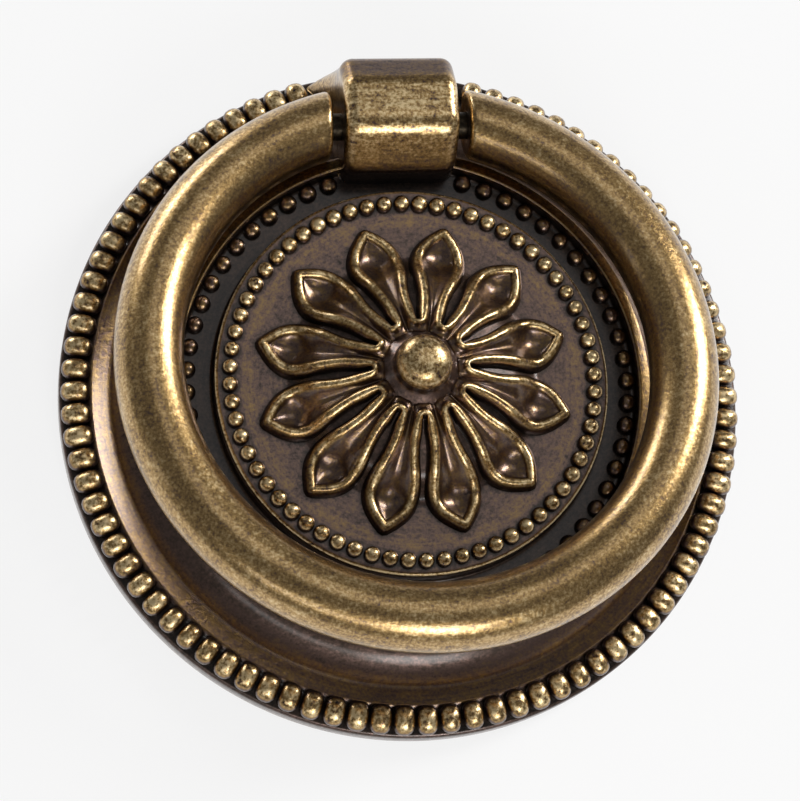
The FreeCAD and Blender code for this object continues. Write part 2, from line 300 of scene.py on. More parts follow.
def denser(outline, step):
    """Outline with points added so that no straight run is longer than step."""
    found = []
    for a, b in zip(outline, outline[1:]):
        count = max(1, int(math.ceil(np.linalg.norm(b - a) / step)))
        found.append(a + (b - a) * np.linspace(0, 1, count, endpoint=False)[:, None])
    return np.concatenate(found + [outline[-1:]])


def flower_height(radius):
    """Height of the petal rims."""
    cone = FLOWER_TOP - FLOWER_SLOPE * radius
    return cone + (FLOWER_TIP_HEIGHT - cone) * smooth(radius, SHOULDER_RADIUS, BRIM_RADIUS)


def petal_half_width(t):
    """Half width of a petal along its rim, from its inner end (t = 0) to its tip (t = 1)."""
    return PETAL_STALK * (1 - t) + PETAL_BELLY * t ** 0.35 * np.sin(np.pi * t ** 1.87)


def dome_height(radius):
    """Height of the ground that the petals stand on."""
    return np.maximum(flower_height(radius) - FLOWER_GROOVE, DISC_HEIGHT)


def nearest_bead(x, y, row):
    """Distance in plan to the middle of the nearest bead of a row, with a bead on the hinge line."""
    pitch = 2 * math.pi / row["count"]
    angle = np.arctan2(y, x) - math.pi / 2
    off = (angle + pitch / 2) % pitch - pitch / 2
    return np.hypot(np.hypot(x, y) - row["radius"], off * row["radius"])


def petal_nearness(x, y):
    """How near a place in plan is to a petal's foot: 0 away from the flower, 1 at its edge."""
    pitch = 2 * math.pi / PETALS
    angle = np.arctan2(y, x) - math.pi / 2
    off = angle % pitch - pitch / 2
    radius = np.hypot(x, y)
    across, along = np.abs(radius * np.sin(off)), radius * np.cos(off)
    t = np.clip((along - PETAL_INNER) / (PETAL_TIP - PETAL_INNER), 0, 1)
    gap = np.hypot(np.maximum(across - petal_half_width(t), 0), np.maximum(along - PETAL_TIP, 0))
    return smooth(gap, *PETAL_FADE)


def plate_section():
    """Section of the turned casting as (radius, height), from the boss over the rim to the fixing hole."""
    front = []
    rho = np.sin(np.linspace(0.02, math.pi / 2, 18))
    crown = BOSS_SHOULDER + (BOSS_TOP - BOSS_SHOULDER) * (1 - rho ** BOSS_CROWN_POWER) ** 0.5
    front.append(np.stack([BOSS_RADIUS * rho, crown], -1))
    collar = rounded([
        (BOSS_RADIUS + 0.01, BOSS_SHOULDER - 0.15), (BOSS_RADIUS + 0.06, COLLAR_HEIGHT + 0.7),
        (LEAF_INNER + 0.05, COLLAR_HEIGHT - 0.05), (LEAF_INNER + 0.3, COLLAR_HEIGHT - 0.4)], [0.5, 0.2], 6)
    front.append(denser(collar, 0.3))
    dome = np.linspace(LEAF_INNER + 0.6, PETAL_TIP - 0.2, 36)
    front.append(np.stack([dome, dome_height(dome)], -1))
    step = rounded([
        (PETAL_TIP + 0.2, DISC_HEIGHT), (DISC_RADIUS, DISC_HEIGHT), (DISC_RADIUS, RECESS_FLOOR),
        (LIP_RADIUS - LIP_WALL_FOOT, RECESS_FLOOR), (LIP_RADIUS - LIP_WALL_TOP, LIP_HEIGHT + LIP_CROWN),
        (LIP_RADIUS + LIP_SLOPE_OUT, LIP_HEIGHT - LIP_SLOPE_DROP),
        (LIP_RADIUS + LIP_SKIRT_OUT, LIP_HEIGHT - LIP_SKIRT_DROP)],
        [0.35, 0.3, 0.35, 0.2, 0.3], 6)
    front.append(denser(step, 0.3))
    run = TROUGH_RADIUS - LIP_RADIUS - COVE_INSET
    rise = LIP_HEIGHT - COVE_DROP - TROUGH_HEIGHT
    bend = (run ** 2 + rise ** 2) / (2 * rise)
    swing = math.degrees(math.asin(run / bend))
    front.append(arc_points((TROUGH_RADIUS, TROUGH_HEIGHT + bend), bend, 270 - swing, 270, 26))
    turn = arc_points((TROUGH_RADIUS, TROUGH_HEIGHT + BANK_BEND), BANK_BEND, 270, 270 + TROUGH_SLOPE, 9)
    grade = math.tan(math.radians(TROUGH_SLOPE))
    bank = turn[-1] + (COVE_START - turn[-1, 0]) * np.array([1, grade])
    front.append(denser(np.concatenate([turn, bank[None]]), 0.25)[1:])
    rim = rounded([
        (COVE_START + 0.25, RIM_HEIGHT + 0.2), (PLATE_RADIUS, RIM_HEIGHT - 0.1), (PLATE_RADIUS, 0),
        (PLATE_RADIUS - RIM_LAND, 0), (LIP_RADIUS, RECESS_FLOOR - CAST_WALL)], [0.4, 0.15, 0.4], 5)
    front.append(denser(rim, 0.8))
    root = DISC_HEIGHT - BACK_ROOT_DEPTH
    back = rounded([
        (LIP_RADIUS - 0.3, RECESS_FLOOR - CAST_WALL), (DISC_RADIUS - CAST_WALL, RECESS_FLOOR - CAST_WALL),
        (BACK_ROOT_RADIUS, root), (FIXING_BOSS_RADIUS, root), (FIXING_BOSS_RADIUS, 0),
        (FIXING_HOLE_RADIUS, 0), (FIXING_HOLE_RADIUS, FIXING_HOLE_DEPTH), (0.03, FIXING_HOLE_DEPTH)],
        [1.0, 0.8, 0.5, 0.2, 0.12, 0.1], 4)
    front.append(denser(back, 1.6))
    return np.concatenate(front)


def plate_wear_and_painted_light(radius, height, x, y, on_front):
    """How bright the plate is: rubbed bright on what stands out and dark with patina in the hollows, with
    painted shade beside beads and petals, under the outer beads and on the side wall, and painted sheen and
    highlight round the boss, on the outer bank and on the disc's edge.
    """
    # Lighter on the outer bank beside the beads: partly rubbed brass, partly a painted highlight.
    value = WEAR_COVE + WEAR_AND_HIGHLIGHT_BANK_GAIN * smooth(radius, *BANK_FADE)
    # Lighter ground near the boss: painted sheen.
    ground = WEAR_GROUND + PAINTED_SHEEN_CENTRE_GAIN * smooth(radius, *CENTRE_FADE)
    value = np.where(radius < GROUND_RADIUS, ground, value)
    field = (radius >= GROUND_RADIUS) & (radius < DISC_RADIUS + 0.1)
    band = WEAR_DISC + WEAR_BAND_GAIN * smooth(np.abs(radius - BAND_RADIUS), *BAND_FADE)
    # Darker beside the disc beads: patina in the hollows and painted shade.
    beside_beads = 1 - BEAD_SHADE * smooth(nearest_bead(x, y, DISC_ROW), *BEAD_FADE)
    value = np.where(field, band * beside_beads, value)
    # Darker beside the petals, more so towards their tips: patina in the hollows and painted shade.
    shade = PETAL_SHADE + PETAL_SHADE_GAIN * smooth(radius, *PETAL_SHADE_FADE)
    value = np.where(radius < DISC_RADIUS, value * (1 - shade * petal_nearness(x, y)), value)
    # Lighter at the disc's edge: partly rubbed brass, partly a painted highlight.
    edge = smooth(np.abs(radius - DISC_RADIUS + 0.08), *DISC_EDGE_FADE) * (height > DISC_HEIGHT - 0.3)
    value = value + WEAR_AND_HIGHLIGHT_DISC_EDGE * edge
    recess = (radius > DISC_RADIUS - 0.02) & (radius < LIP_RADIUS - 0.7) & (height < LIP_HEIGHT - 0.3)
    value = np.where(recess, WEAR_RECESS, value)
    lip = smooth(np.abs(radius - LIP_RADIUS + 0.1), *LIP_FADE) * (height > LIP_HEIGHT - 0.7)
    value = np.maximum(value, WEAR_LIP * lip)
    # Darker under the outer beads: patina and painted shade.
    under_beads = 1 - RIM_SHADE * smooth(radius, COVE_START - 0.1, COVE_START + 0.4)
    value = np.where(radius > COVE_START - 0.2, value * under_beads, value)
    # Dark side wall: painted shade of the contact shadow.
    value = np.where(radius > PLATE_RADIUS - 0.35, PAINTED_SHADE_SIDE, value)
    # Lighter collar round the boss: painted sheen.
    value = np.where(radius < BOSS_RADIUS + 0.35, PAINTED_SHEEN_COLLAR, value)
    boss = (radius < BOSS_RADIUS + 0.02) & (height > BOSS_SHOULDER - 0.1)
    value = np.where(boss, WEAR_BOSS, value)
    return np.where(on_front, value, WEAR_BACK)


def add_plate(material):
    """The turned casting, in one closed mesh."""
    section = plate_section()
    angle = np.linspace(0, 2 * math.pi, PLATE_TURNS, endpoint=False)
    radius, height = section[:, :1], section[:, 1:]
    x, y = radius * np.cos(angle), radius * np.sin(angle)
    z = np.broadcast_to(height, x.shape)
    rows = len(section)
    rim_row = int(np.argmax(section[:, 0] > PLATE_RADIUS - 0.001))
    on_front = (np.arange(rows) <= rim_row + 1)[:, None]
    wear_and_painted_light = plate_wear_and_painted_light(np.broadcast_to(radius, x.shape), z, x, y, on_front)
    flow = np.stack([
        PLATE_BRUSH_AROUND * np.cos(angle) + 0 * x, PLATE_BRUSH_AROUND * np.sin(angle) + 0 * x,
        PLATE_BRUSH_OUT * radius + 0 * x + PLATE_BRUSH_UP * z], -1)
    points = np.stack([x, y, z], -1).reshape(-1, 3)
    faces = grid_faces(rows, PLATE_TURNS)
    count = len(points)
    ends = np.array([[0, 0, section[0, 1]], [0, 0, section[-1, 1]]])
    for j in range(PLATE_TURNS):
        k = (j + 1) % PLATE_TURNS
        faces.append((count, k, j))
        faces.append((count + 1, (rows - 1) * PLATE_TURNS + j, (rows - 1) * PLATE_TURNS + k))
    faces = [f[::-1] for f in faces]
    wear_and_painted_light = np.append(wear_and_painted_light.ravel(), [WEAR_BOSS_TOP, WEAR_HOLE_END])
    flow = np.concatenate([flow.reshape(-1, 3), ends])
    piece = add_piece("plate_casting", np.concatenate([points, ends]), faces, material, "plate", wear_and_painted_light, flow)
    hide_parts("back_plate")


def bead_shape(row):
    """One bead about its own middle, radial direction first: a rounded barrel, open where it is rooted."""
    lift = np.linspace(BEAD_LOWEST, 1, BEAD_UP)[:, None] * math.pi / 2
    turn = np.linspace(0, 2 * math.pi, BEAD_AROUND, endpoint=False)[None]

    def power(value):
        return np.sign(value) * np.abs(value) ** (2 / row["square"])

    a, b, c = row["half"]
    points = np.stack([
        a * power(np.cos(turn)) * np.cos(lift),
        b * power(np.sin(turn)) * np.cos(lift),
        c * np.sin(lift) + 0 * turn], -1)
    # Lighter towards the top: the tops are rubbed brass and partly a painted highlight.
    bright = 0.15 + 0.85 * smooth(points[..., 2] / c, 0.25, 0.85)
    return points, bright


def add_beads(name, row, material, bright, skip_half=0.0):
    """A row of beads on the plate, without those that the knuckle covers."""
    points, shine = bead_shape(row)
    tilt = math.radians(row["tilt"])
    r = points[..., 0] * math.cos(tilt) + points[..., 2] * math.sin(tilt)
    h = -points[..., 0] * math.sin(tilt) + points[..., 2] * math.cos(tilt)
    found, faces, wear_and_painted_light = [], [], []
    made = 0
    for i in range(row["count"]):
        angle = math.pi / 2 + 2 * math.pi * i / row["count"]
        c, s = math.cos(angle), math.sin(angle)
        if s > 0 and abs(row["radius"] * c) < skip_half:
            continue
        size = 1 + 0.035 * math.sin(12.9 * i) + 0.02 * math.sin(5.3 * i)
        out = row["radius"] + r * size
        across = points[..., 1] * size
        found.append(np.stack([out * c - across * s, out * s + across * c, row["centre"] + h * size], -1))
        start = made * BEAD_UP * BEAD_AROUND
        faces += grid_faces(BEAD_UP, BEAD_AROUND, start)
        faces.append(tuple(start + BEAD_AROUND - 1 - k for k in range(BEAD_AROUND)))
        wear_and_painted_light.append(shine * bright * (1 + 0.1 * math.sin(7.7 * i)))
        made += 1
    found = np.concatenate([f.reshape(-1, 3) for f in found])
    piece = add_piece(name, found, faces, material, "plate", np.concatenate([w.ravel() for w in wear_and_painted_light]))


# Section across the petals' rim: place outside and inside its crest, depth below it, and wear; darker down
# the walls partly as painted shade over the patina
RIM_OUTSIDE = [(0.68, 1.00, 0.08), (0.62, 0.70, 0.16), (0.53, 0.46, 0.27), (0.42, 0.27, 0.40),
               (0.29, 0.12, 0.55), (0.15, 0.03, 0.70), (0.0, 0.0, 0.74)]
RIM_INSIDE = [(0.14, 0.03, 0.68), (0.27, 0.12, 0.52), (0.39, 0.26, 0.36), (0.48, 0.42, 0.25)]
RIM_REACH = 0.74
# Foot of the rims in the ground: place outside the crest, and height over the ground
RIM_FOOT = [(RIM_REACH, -0.25), (0.71, 0.08)]
BELLY_RIM = 0.15
BELLY_RADIUS = 11.2
BELLY_SPREAD = 2.2
GAP_SPARE = 0.03
GAP_LEAST = 0.34
TURN_START = 5.3
TURN_TOP = 4.4
TURN_PULL = 0.6
TURN_FLAT = 0.36
LEAF_WAYS = [0.3, 0.65, 1.0]
LEAF_END = 14.05
LEAF_SLIDE = 2.2
LEAF_DEPTH = 0.62
LEAF_HOLLOW = 0.5
LEAF_HOLLOW_RADIUS = 10.6
LEAF_HOLLOW_SPREAD = 2.4
LEAF_ROOT_DROP = 0.35
LEAF_ROOT_RADIUS = 4.8
LEAF_TIP_RISE = 0.35
LEAF_TIP_RADIUS = 12.6
LEAF_UNDERSIDE = 0.5


def crest_path():
    """Crest of the rims round half a gap on the +Y axis: from the gap's inner end along a petal to its tip.

    Returns the crest in plan, the places to which the leaf beside it falls, and the count of points in the
    turn at the gap's inner end.
    """
    c, s = math.cos(math.pi / PETALS), math.sin(math.pi / PETALS)

    def beside_gap(across, along):
        return np.stack([along * s - across * c, along * c + across * s], -1)

    start_t = (TURN_START - PETAL_INNER) / (PETAL_TIP - PETAL_INNER)
    t = start_t + (1 - start_t) * (0.5 - 0.5 * np.cos(math.pi * np.linspace(0, 1, 46) ** 0.8))
    along = PETAL_INNER + t * (PETAL_TIP - PETAL_INNER)
    side = beside_gap(petal_half_width(t), along)
    inwards = np.array([-s, -c])
    a, b = side[0], side[0] + TURN_PULL * inwards
    d = np.array([0, TURN_TOP])
    e = d + np.array([TURN_FLAT, 0])
    u = np.linspace(0, 1, 12)[:, None]
    turn = (1 - u) ** 3 * d + 3 * u * (1 - u) ** 2 * e + 3 * u ** 2 * (1 - u) * b + u ** 3 * a
    slide = smooth(along, TURN_START, TURN_START + LEAF_SLIDE)
    reach = LEAF_INNER + (along - LEAF_INNER) * slide
    crease = beside_gap(0 * along, np.minimum(reach, LEAF_END))
    angle = np.linspace(0, math.pi / PETALS, len(turn))
    arc = LEAF_INNER * np.stack([np.sin(angle), np.cos(angle)], -1)
    return np.concatenate([turn[:-1], side]), np.concatenate([arc[:-1], crease]), len(turn)


def flower_strip():
    """The rims and leaves between two petal tips as a grid, its wear with patina and painted shade at the
    rims' feet and down their walls, and the count of points in its turn.

    The first row of the grid is its underside.
    """
    path, target, turn = crest_path()
    mirrored = np.array([-1, 1])
    path = np.concatenate([(path * mirrored)[:0:-1], path])[:-1]
    target = np.concatenate([(target * mirrored)[:0:-1], target])[:-1]
    count = len(path)
    c, s = math.cos(2 * math.pi / PETALS), math.sin(2 * math.pi / PETALS)
    across_tip = np.array([c * path[-1, 0] - s * path[-1, 1], s * path[-1, 0] + c * path[-1, 1]])
    before = np.concatenate([across_tip[None], path[:-1]])
    after = np.concatenate([path[1:], (path[0] * mirrored)[None]])
    tangent = after - before
    to_gap = np.stack([-tangent[:, 1], tangent[:, 0]], -1)
    to_gap /= np.linalg.norm(to_gap, axis=1)[:, None]
    radius = np.linalg.norm(path, axis=1)
    crest = flower_height(radius)
    ground = dome_height(radius)
    widen = 1 + BELLY_RIM * np.exp(-((radius - BELLY_RADIUS) / BELLY_SPREAD) ** 2)
    gap = np.maximum(np.abs(path[:, 0]) - GAP_SPARE, GAP_LEAST)
    outside = np.minimum(widen, gap / RIM_REACH)
    target_radius = np.linalg.norm(target, axis=1)
    hollow = np.exp(-((target_radius - LEAF_HOLLOW_RADIUS) / LEAF_HOLLOW_SPREAD) ** 2)
    depth = LEAF_DEPTH + LEAF_HOLLOW * hollow
    depth = depth + LEAF_ROOT_DROP * smooth(target_radius, LEAF_ROOT_RADIUS, LEAF_INNER)
    depth = depth * (1 - LEAF_TIP_RISE * smooth(target_radius, LEAF_TIP_RADIUS, LEAF_END))
    low = flower_height(target_radius) - depth
    found = [np.column_stack([target, low - LEAF_UNDERSIDE])]
    wear_and_painted_light = [np.zeros(count)]
    # Dark at the rims' feet: patina and painted shade.
    for out, up in RIM_FOOT:
        found.append(np.column_stack([path + to_gap * (outside * out)[:, None], ground + up]))
        wear_and_painted_light.append(np.full(count, PATINA_AND_SHADE_PETAL_FOOT))
    for out, drop, bright in RIM_OUTSIDE:
        found.append(np.column_stack([path + to_gap * (outside * out)[:, None], crest - drop]))
        wear_and_painted_light.append(np.full(count, bright))
    room = np.linalg.norm(path - target, axis=1)
    for into, drop, bright in RIM_INSIDE:
        inset = np.minimum(widen * into, 0.85 * room)
        shrink = inset / (widen * into)
        found.append(np.column_stack([path - to_gap * inset[:, None], crest - drop * shrink]))
        wear_and_painted_light.append(np.full(count, bright))
    rim = found[-1]
    goal = np.column_stack([target, np.minimum(low, rim[:, 2] - 0.02)])
    for way in LEAF_WAYS:
        mixed = rim + (goal - rim) * way
        mixed[:, 2] = rim[:, 2] + (goal[:, 2] - rim[:, 2]) * way ** 0.8
        found.append(mixed)
        wear_and_painted_light.append(np.full(count, WEAR_LEAF + WEAR_LEAF_GAIN * way))
    return np.stack(found), np.stack(wear_and_painted_light), turn


def add_petals(material):
    """The twelve petals with joined rims, in one closed mesh round the boss."""
    points, shine, turn = flower_strip()
    rows, columns, _ = points.shape
    found, wear_and_painted_light = [], []
    for i in range(PETALS):
        angle = -2 * math.pi * i / PETALS
        c, s = math.cos(angle), math.sin(angle)
        x, y, z = points[..., 0], points[..., 1], points[..., 2]
        found.append(np.stack([x * c - y * s, x * s + y * c, z], -1))
        wear_and_painted_light.append(shine)
    found = np.concatenate(found, axis=1)
    total = found.shape[1]
    faces = grid_faces(rows, total)
    middle = columns // 2
    for i in range(PETALS):
        for j in range(middle - turn + 1, middle + turn - 1):
            a, b = i * columns + j, i * columns + j + 1
            faces.append(((rows - 1) * total + a, (rows - 1) * total + b, b, a))
    piece = add_piece("plate_petals", found, faces, material, "plate", np.concatenate(wear_and_painted_light, axis=1).ravel())
    weld(piece)


def knuckle_outline():
    """Side view of the knuckle as (y, z), from the foot of its front over the top to its heel."""
    corner_points = [
        (HINGE_Y - 4.55, RECESS_FLOOR - 0.4), (HINGE_Y - 4.5, HINGE_Z + 0.2),
        (HINGE_Y - 1.3, HINGE_Z + 4.45), (HINGE_Y + 3.4, HINGE_Z + 4.0),
        (PLATE_RADIUS - 1.8, HINGE_Z + 2.0), (PLATE_RADIUS - 0.35, RIM_HEIGHT - 0.5)]
    return denser(rounded(corner_points, [2.6, 2.6, 2.4, 1.5], 12), 0.45)


def add_knuckle(material):
    """The knuckle that is cast on the plate, rounded along its sides and flaring to its foot."""
    outline = knuckle_outline()
    shown = len(outline)
    base = denser(np.array([outline[-1], *KNUCKLE_BASE, outline[0]]), 0.6)[1:-1]
    outline = np.concatenate([outline, base])
    tangent = np.roll(outline, -1, 0) - np.roll(outline, 1, 0)
    inward = np.stack([tangent[:, 1], -tangent[:, 0]], -1)
    inward /= np.linalg.norm(inward, axis=1)[:, None]
    inward[shown:] = 0
    core = np.array([HINGE_Y + 1.5, RECESS_FLOOR + 1.0])
    lanes = [(x, 0.0, 0.0) for x in np.linspace(0, KNUCKLE_HALF - KNUCKLE_EDGE, 8)]
    for b in np.radians(np.linspace(0, 90, 10))[1:]:
        lanes.append((KNUCKLE_HALF - KNUCKLE_EDGE * (1 - math.sin(b)), KNUCKLE_EDGE * (1 - math.cos(b)), 0.0))
    lanes += [(KNUCKLE_HALF, KNUCKLE_EDGE, share) for share in (0.25, 0.5, 0.75, 1.0)]
    found = []
    for x, inset, share in lanes:
        line = outline + inward * inset
        line = line + (core - line) * share
        above = np.clip((line[:, 1] - RIM_HEIGHT) / KNUCKLE_FILLET, 0, 1)
        flare = KNUCKLE_FLARE * (1 - above) ** 2 * smooth(line[:, 0], *KNUCKLE_FLARE_FADE)
        row = np.column_stack([x + flare * x / KNUCKLE_HALF, line])
        reach = np.hypot(row[:, 0], row[:, 1])
        row[:, :2] *= np.minimum(1, KNUCKLE_REACH / reach)[:, None]
        found.append(row)
    right = np.stack(found)
    left = right[:0:-1] * np.array([-1, 1, 1])
    points = np.concatenate([left, right])
    rows, columns, _ = points.shape
    faces = grid_faces(rows, columns)
    length = np.concatenate([[0], np.cumsum(np.linalg.norm(np.diff(outline, axis=0), axis=1))])
    along = np.broadcast_to(length * KNUCKLE_BRUSH_ALONG, (rows, columns))
    flow = np.stack([points[..., 0] * KNUCKLE_BRUSH_ACROSS, along, points[..., 2]], -1)
    edge = smooth(np.abs(points[..., 0]), KNUCKLE_HALF - 1.5, KNUCKLE_HALF - 0.5)
    wear_and_painted_light = WEAR_KNUCKLE + WEAR_KNUCKLE_EDGE_GAIN * edge
    # Darker on the heel slope and down the front face: painted shade.
    wear_and_painted_light = wear_and_painted_light - PAINTED_SHADE_KNUCKLE_HEEL * smooth(points[..., 1], *KNUCKLE_HEEL_FADE)
    wear_and_painted_light = wear_and_painted_light - PAINTED_SHADE_KNUCKLE_FRONT * smooth(points[..., 1], *KNUCKLE_FRONT_FADE)
    # Darker at the foot of the front face: painted shade.
    low = smooth(points[..., 2], *KNUCKLE_FOOT_HEIGHTS) * smooth(points[..., 1], *KNUCKLE_FOOT_FADE)
    wear_and_painted_light = wear_and_painted_light * (1 - KNUCKLE_FOOT_SHADE * low)
    wear_and_painted_light = np.where(np.abs(points[..., 0]) > KNUCKLE_HALF - 0.01, WEAR_KNUCKLE_FLANK, wear_and_painted_light)
    piece = add_piece("plate_knuckle", points, faces, material, "plate", wear_and_painted_light.ravel(), flow)
    weld(piece)


def add_ring(material):
    """C-shaped ring at its rest, with rounded ends and a blind hole for the pin in each."""
    psi = np.linspace(0, 2 * math.pi, RING_AROUND, endpoint=False)
    drop = math.sqrt(RING_RADIUS ** 2 - RING_CUT ** 2)
    insets = np.array(RING_BEVEL_STEPS) * RING_BEVEL
    bars = RING_BAR - RING_BEVEL + np.sqrt(RING_BEVEL ** 2 - (RING_BEVEL - insets) ** 2)

    def near_end(inset, bar, direction):
        """Section of a bar that lies inset from an end of the ring: radii, angles, and the bar's radius."""
        place = RING_RADIUS + bar * np.cos(psi)
        angle = np.arcsin((RING_END + inset) / place)
        return place, angle if direction > 0 else 2 * math.pi - angle, bar

    def pin_hole(direction):
        """Blind hole from an end of the ring to the hole's bottom."""
        mouth = PIN_HOLE_RADIUS + PIN_HOLE_CHAMFER
        steps = [(RING_END, mouth), (RING_END + PIN_HOLE_CHAMFER, PIN_HOLE_RADIUS),
                 (PIN_HOLE_END, PIN_HOLE_RADIUS)]
        return [np.stack([0 * psi + direction * x, bore * np.cos(psi), bore * np.sin(psi)], -1)
                for x, bore in steps]

    first = [near_end(inset, bar, 1) for inset, bar in zip(insets, bars)]
    last = [near_end(inset, bar, -1) for inset, bar in zip(insets[::-1], bars[::-1])]
    out, start, _ = near_end(RING_BEVEL, RING_BAR, 1)
    _, stop, _ = near_end(RING_BEVEL, RING_BAR, -1)
    ways = np.linspace(0, 1, RING_ALONG)[1:-1]
    between = [(out, start + way * (stop - start), RING_BAR) for way in ways]
    points, flow = [], []
    for place, angle, bar in first + between + last:
        points.append(np.stack([place * np.sin(angle), place * np.cos(angle) - drop, bar * np.sin(psi)], -1))
        flow.append(np.stack([
            RING_BRUSH_ALONG * np.sin(angle) + RING_BRUSH_ROUND * np.cos(psi),
            RING_BRUSH_ALONG * np.cos(angle) + 0 * psi, RING_BRUSH_ROUND * np.sin(psi)], -1))
    points = np.stack(pin_hole(1)[::-1] + points + pin_hole(-1))
    flow = [flow[0]] * 3 + flow + [flow[-1]] * 3
    tilt = math.radians(-RING_REST_DEG)
    y = points[..., 1] * math.cos(tilt) - points[..., 2] * math.sin(tilt) + HINGE_Y
    z = points[..., 1] * math.sin(tilt) + points[..., 2] * math.cos(tilt) + HINGE_Z
    points = np.stack([points[..., 0], y, z], -1)
    rows, columns, _ = points.shape
    faces = [f[::-1] for f in grid_faces(rows, columns)]
    faces.append(tuple(range(columns)))
    faces.append(tuple((rows - 1) * columns + k for k in range(columns - 1, -1, -1)))
    wear_and_painted_light = np.full((rows, columns), WEAR_RING)
    # Darker on the inner side of the bar: painted shade.
    wear_and_painted_light -= PAINTED_SHADE_RING_INSIDE * smooth(np.cos(psi), *RING_INSIDE_FADE)
    # Lighter bevels round the ends: painted highlight where the rims catch the light.
    wear_and_painted_light[[4, 5, 6, -5, -6, -7]] = PAINTED_HIGHLIGHT_RING_EDGE
    # Dark pin holes and end faces: painted shade in the gap at the knuckle.
    wear_and_painted_light[[0, 1, 2, 3, -1, -2, -3, -4]] = PAINTED_SHADE_RING_HOLE
    piece = add_piece("ring_bar", points, faces, material, "ring", wear_and_painted_light.ravel(), np.stack(flow))
    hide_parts("ring")


class Shader:
    """Short way to build a material's nodes."""

    def __init__(self, name):
        self.material = bpy.data.materials.new(name)
        self.material.use_nodes = True
        self.tree = self.material.node_tree
        self.principled = self.tree.nodes["Principled BSDF"]

    def node(self, kind, **settings):
        """A new node with its settings."""
        made = self.tree.nodes.new(kind)
        for key, value in settings.items():
            setattr(made, key, value)
        return made

    def link(self, source, target):
        """Joins an output to an input."""
        self.tree.links.new(source, target)

    def value(self, target, source):
        """Sets an input to a number or joins it to an output."""
        if isinstance(source, (int, float)):
            target.default_value = source
        else:
            self.link(source, target)

    def math(self, operation, first, second):
        """Result of an operation on two values."""
        made = self.node("ShaderNodeMath", operation=operation)
        self.value(made.inputs[0], first)
        self.value(made.inputs[1], second)
        return made.outputs[0]

    def noise(self, vector, scale, detail, rough):
        """Noise from 0 to 1 at a place."""
        made = self.node("ShaderNodeTexNoise")
        self.link(vector, made.inputs["Vector"])
        made.inputs["Scale"].default_value = scale
        made.inputs["Detail"].default_value = detail
        made.inputs["Roughness"].default_value = rough
        return made.outputs["Fac"]

    def attribute(self, name, output):
        """A value that is stored on the mesh."""
        made = self.node("ShaderNodeAttribute", attribute_name=name)
        return made.outputs[output]

    def ramp(self, source, stops):
        """Colours, or single levels, between stops along a value."""
        made = self.node("ShaderNodeValToRGB")
        elements = made.color_ramp.elements
        while len(elements) < len(stops):
            elements.new(0.5)
        for element, (place, colour) in zip(elements, stops):
            element.position = place
            element.color = (*colour, 1) if len(colour) == 3 else (colour[0],) * 3 + (1,)
        self.link(source, made.inputs["Fac"])
        return made.outputs["Color"]

    def bump(self, height, strength, distance, before=None):
        """Normal that follows a height, on top of the bump before it."""
        made = self.node("ShaderNodeBump")
        made.inputs["Strength"].default_value = strength
        made.inputs["Distance"].default_value = distance
        self.link(height, made.inputs["Height"])
        if before is not None:
            self.link(before, made.inputs["Normal"])
        return made.outputs["Normal"]


# Finish from the dark of the hollows and of painted shade to brass that is rubbed bright or painted as a
# highlight: place, colour, roughness
FINISH = [
    (0.00, (0.014, 0.010, 0.008), 0.60),
    (0.12, (0.060, 0.038, 0.028), 0.48),
    (0.22, (0.130, 0.079, 0.064), 0.32),
    (0.42, (0.266, 0.162, 0.058), 0.31),
    (0.62, (0.460, 0.290, 0.106), 0.28),
    (1.00, (0.830, 0.640, 0.350), 0.38),
]
# Strength of the marks in the finish: by the square of the wear value, which also holds painted light and
# shade, and the least of it
MARKS_BY_WEAR = 2.6
MARKS_LEAST = 0.16


def antique_brass(name, mottle, patches, grain, streak, lacquer):
    """Lacquered antique brass: its wear with painted light and shade, broken up by mottling, patches, grain
    and brush marks.
    """
    sh = Shader(name)
    place = sh.node("ShaderNodeTexCoord").outputs["Object"]
    wear_and_painted_light = sh.attribute("wear_and_painted_light", "Fac")
    flow = sh.attribute("flow", "Vector")
    fine = sh.noise(place, scale=3600, detail=2.0, rough=0.6)
    medium = sh.noise(place, scale=1500, detail=4.0, rough=0.62)
    broad = sh.noise(place, scale=260, detail=3.0, rough=0.5)
    brushed = sh.noise(flow, scale=1.0, detail=3.0, rough=0.6)
    worn = sh.math("ADD", sh.math("MULTIPLY", sh.math("MULTIPLY", wear_and_painted_light, wear_and_painted_light), MARKS_BY_WEAR), MARKS_LEAST)
    level = wear_and_painted_light
    for layer, amount in ((medium, mottle), (broad, patches), (fine, grain), (brushed, streak)):
        shifted = sh.math("SUBTRACT", layer, 0.5)
        shifted = sh.math("MULTIPLY", sh.math("MULTIPLY", shifted, amount), worn)
        level = sh.math("ADD", level, shifted)
    level = sh.math("MAXIMUM", level, 0.0)
    colour = sh.ramp(level, [(stop, tint) for stop, tint, _ in FINISH])
    rough = sh.ramp(level, [(stop, (dull,)) for stop, _, dull in FINISH])
    sh.link(colour, sh.principled.inputs["Base Color"])
    sh.link(rough, sh.principled.inputs["Roughness"])
    sh.principled.inputs["Metallic"].default_value = 1.0
    sh.principled.inputs["Coat Weight"].default_value = lacquer
    sh.principled.inputs["Coat Roughness"].default_value = 0.2
    normal = sh.bump(fine, strength=0.35, distance=0.00003)
    normal = sh.bump(medium, strength=0.35, distance=0.00010, before=normal)
    normal = sh.bump(brushed, strength=0.25, distance=0.00004, before=normal)
    sh.link(normal, sh.principled.inputs["Normal"])
    return sh.material


